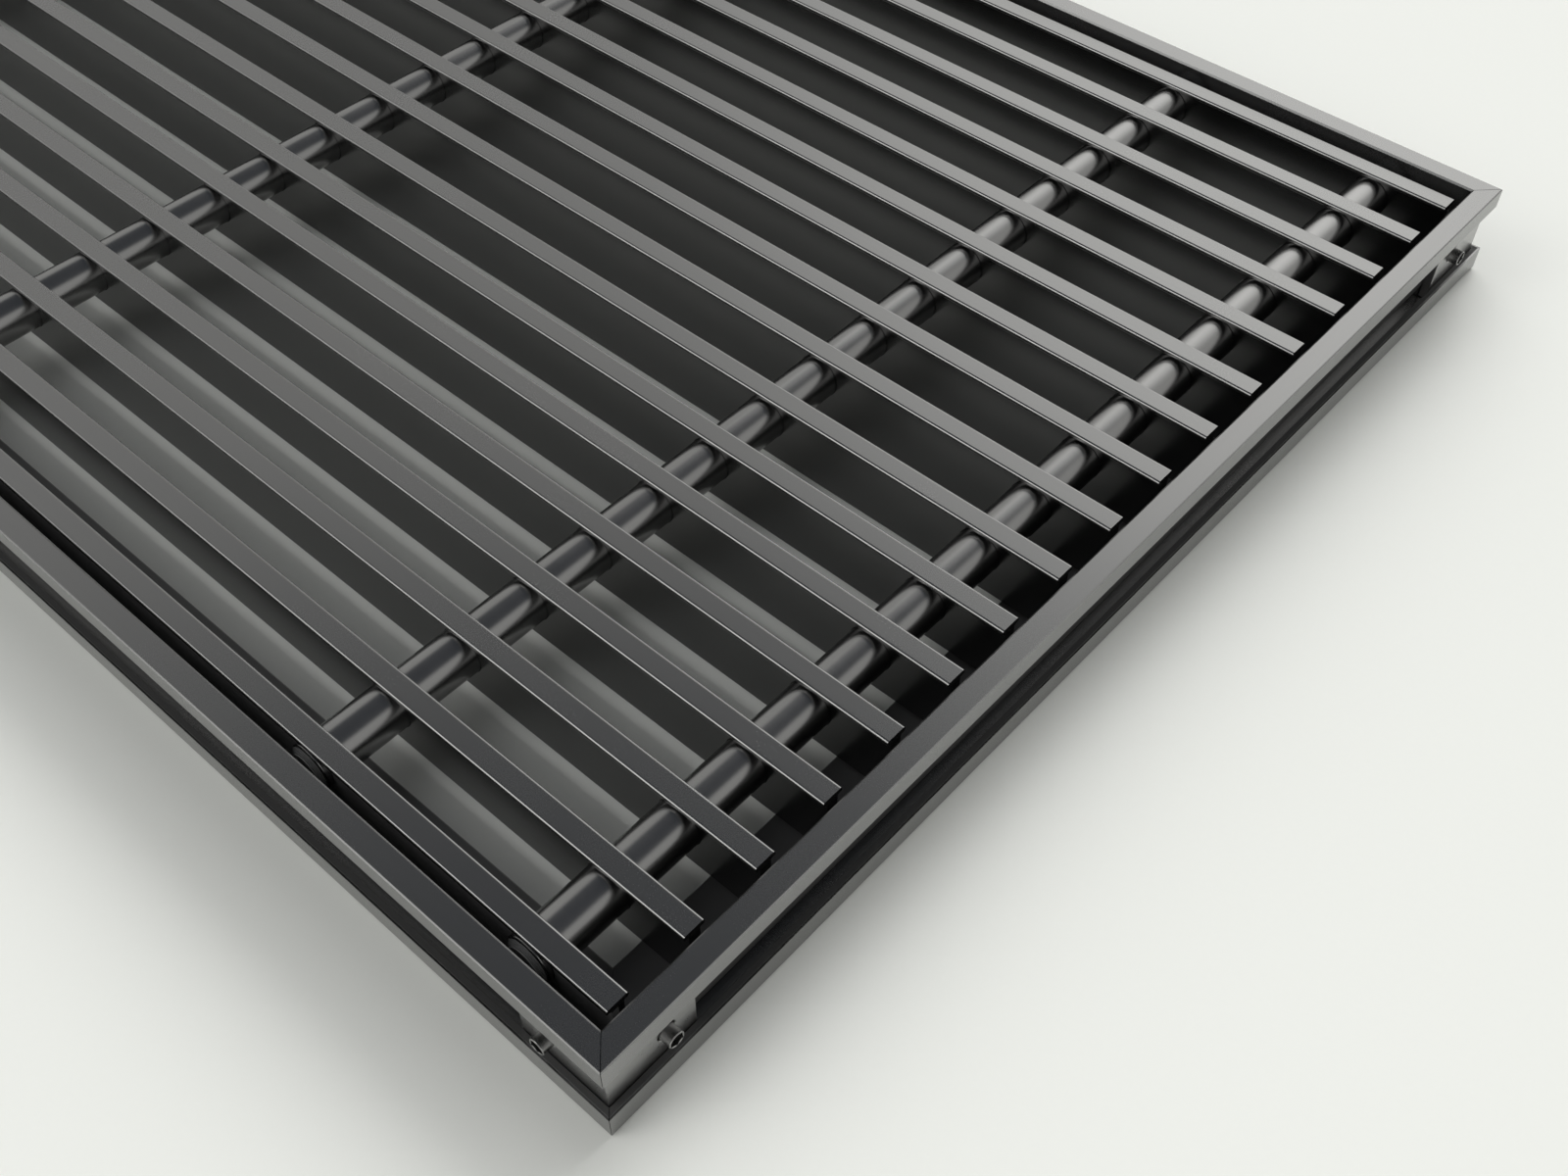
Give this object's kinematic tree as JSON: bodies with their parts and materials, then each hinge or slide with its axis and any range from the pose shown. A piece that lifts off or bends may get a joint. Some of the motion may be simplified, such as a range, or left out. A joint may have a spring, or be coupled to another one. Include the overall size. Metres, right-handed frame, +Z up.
{
  "type": "trench heater grille with frame",
  "caption": "Rigid linear bar grille in its mitred border frame, for the top of a trench convector heater.",
  "frame": {"origin": "middle of the underside, on the floor that the frame lies on", "axes": "+X along the bars, +Y across them from the pictured front to the back, +Z up"},
  "size_m": [0.77, 0.2994, 0.0233],
  "materials": {
    "frame_aluminium": "satin anodised",
    "bar_aluminium": "satin anodised",
    "key_aluminium": "plain, lightly brushed",
    "tube_steel": "polished",
    "plug_plastic": "moulded black",
    "screw_steel": "dark turned steel",
    "strip_rubber": "matt black"
  },
  "bodies": {
    "frame": {"frame_front": "frame_aluminium", "frame_back": "frame_aluminium", "frame_right": "frame_aluminium", "frame_left": "frame_aluminium", "corner_key_front_left": "key_aluminium", "key_screw_front_left_long": "screw_steel", "key_screw_front_left_short": "screw_steel", "corner_key_front_right": "key_aluminium", "key_screw_front_right_long": "screw_steel", "key_screw_front_right_short": "screw_steel", "corner_key_back_right": "key_aluminium", "key_screw_back_right_long": "screw_steel", "key_screw_back_right_short": "screw_steel", "corner_key_back_left": "key_aluminium", "key_screw_back_left_long": "screw_steel", "key_screw_back_left_short": "screw_steel", "seat_strip_front": "strip_rubber", "seat_strip_back": "strip_rubber", "seat_strip_right": "strip_rubber", "seat_strip_left": "strip_rubber"},
    "panel": {"bar_01": "bar_aluminium", "bar_02": "bar_aluminium", "bar_03": "bar_aluminium", "bar_04": "bar_aluminium", "bar_05": "bar_aluminium", "bar_06": "bar_aluminium", "bar_07": "bar_aluminium", "bar_08": "bar_aluminium", "bar_09": "bar_aluminium", "bar_10": "bar_aluminium", "bar_11": "bar_aluminium", "bar_12": "bar_aluminium", "bar_13": "bar_aluminium", "bar_14": "bar_aluminium", "bar_15": "bar_aluminium", "bar_16": "bar_aluminium", "bar_17": "bar_aluminium", "cross_tube_1": "tube_steel", "tube_plug_front_1": "plug_plastic", "tube_plug_back_1": "plug_plastic", "cross_tube_2": "tube_steel", "tube_plug_front_2": "plug_plastic", "tube_plug_back_2": "plug_plastic", "cross_tube_3": "tube_steel", "tube_plug_front_3": "plug_plastic", "tube_plug_back_3": "plug_plastic", "cross_tube_4": "tube_steel", "tube_plug_front_4": "plug_plastic", "tube_plug_back_4": "plug_plastic", "cross_tube_5": "tube_steel", "tube_plug_front_5": "plug_plastic", "tube_plug_back_5": "plug_plastic", "cross_tube_6": "tube_steel", "tube_plug_front_6": "plug_plastic", "tube_plug_back_6": "plug_plastic", "cross_tube_7": "tube_steel", "tube_plug_front_7": "plug_plastic", "tube_plug_back_7": "plug_plastic"}
  },
  "joints": [
    {"name": "panel_lift", "type": "slide", "parent": "frame", "child": "panel", "axis": [0, 0, 1], "range_m": [0, 0.045]}
  ]
}
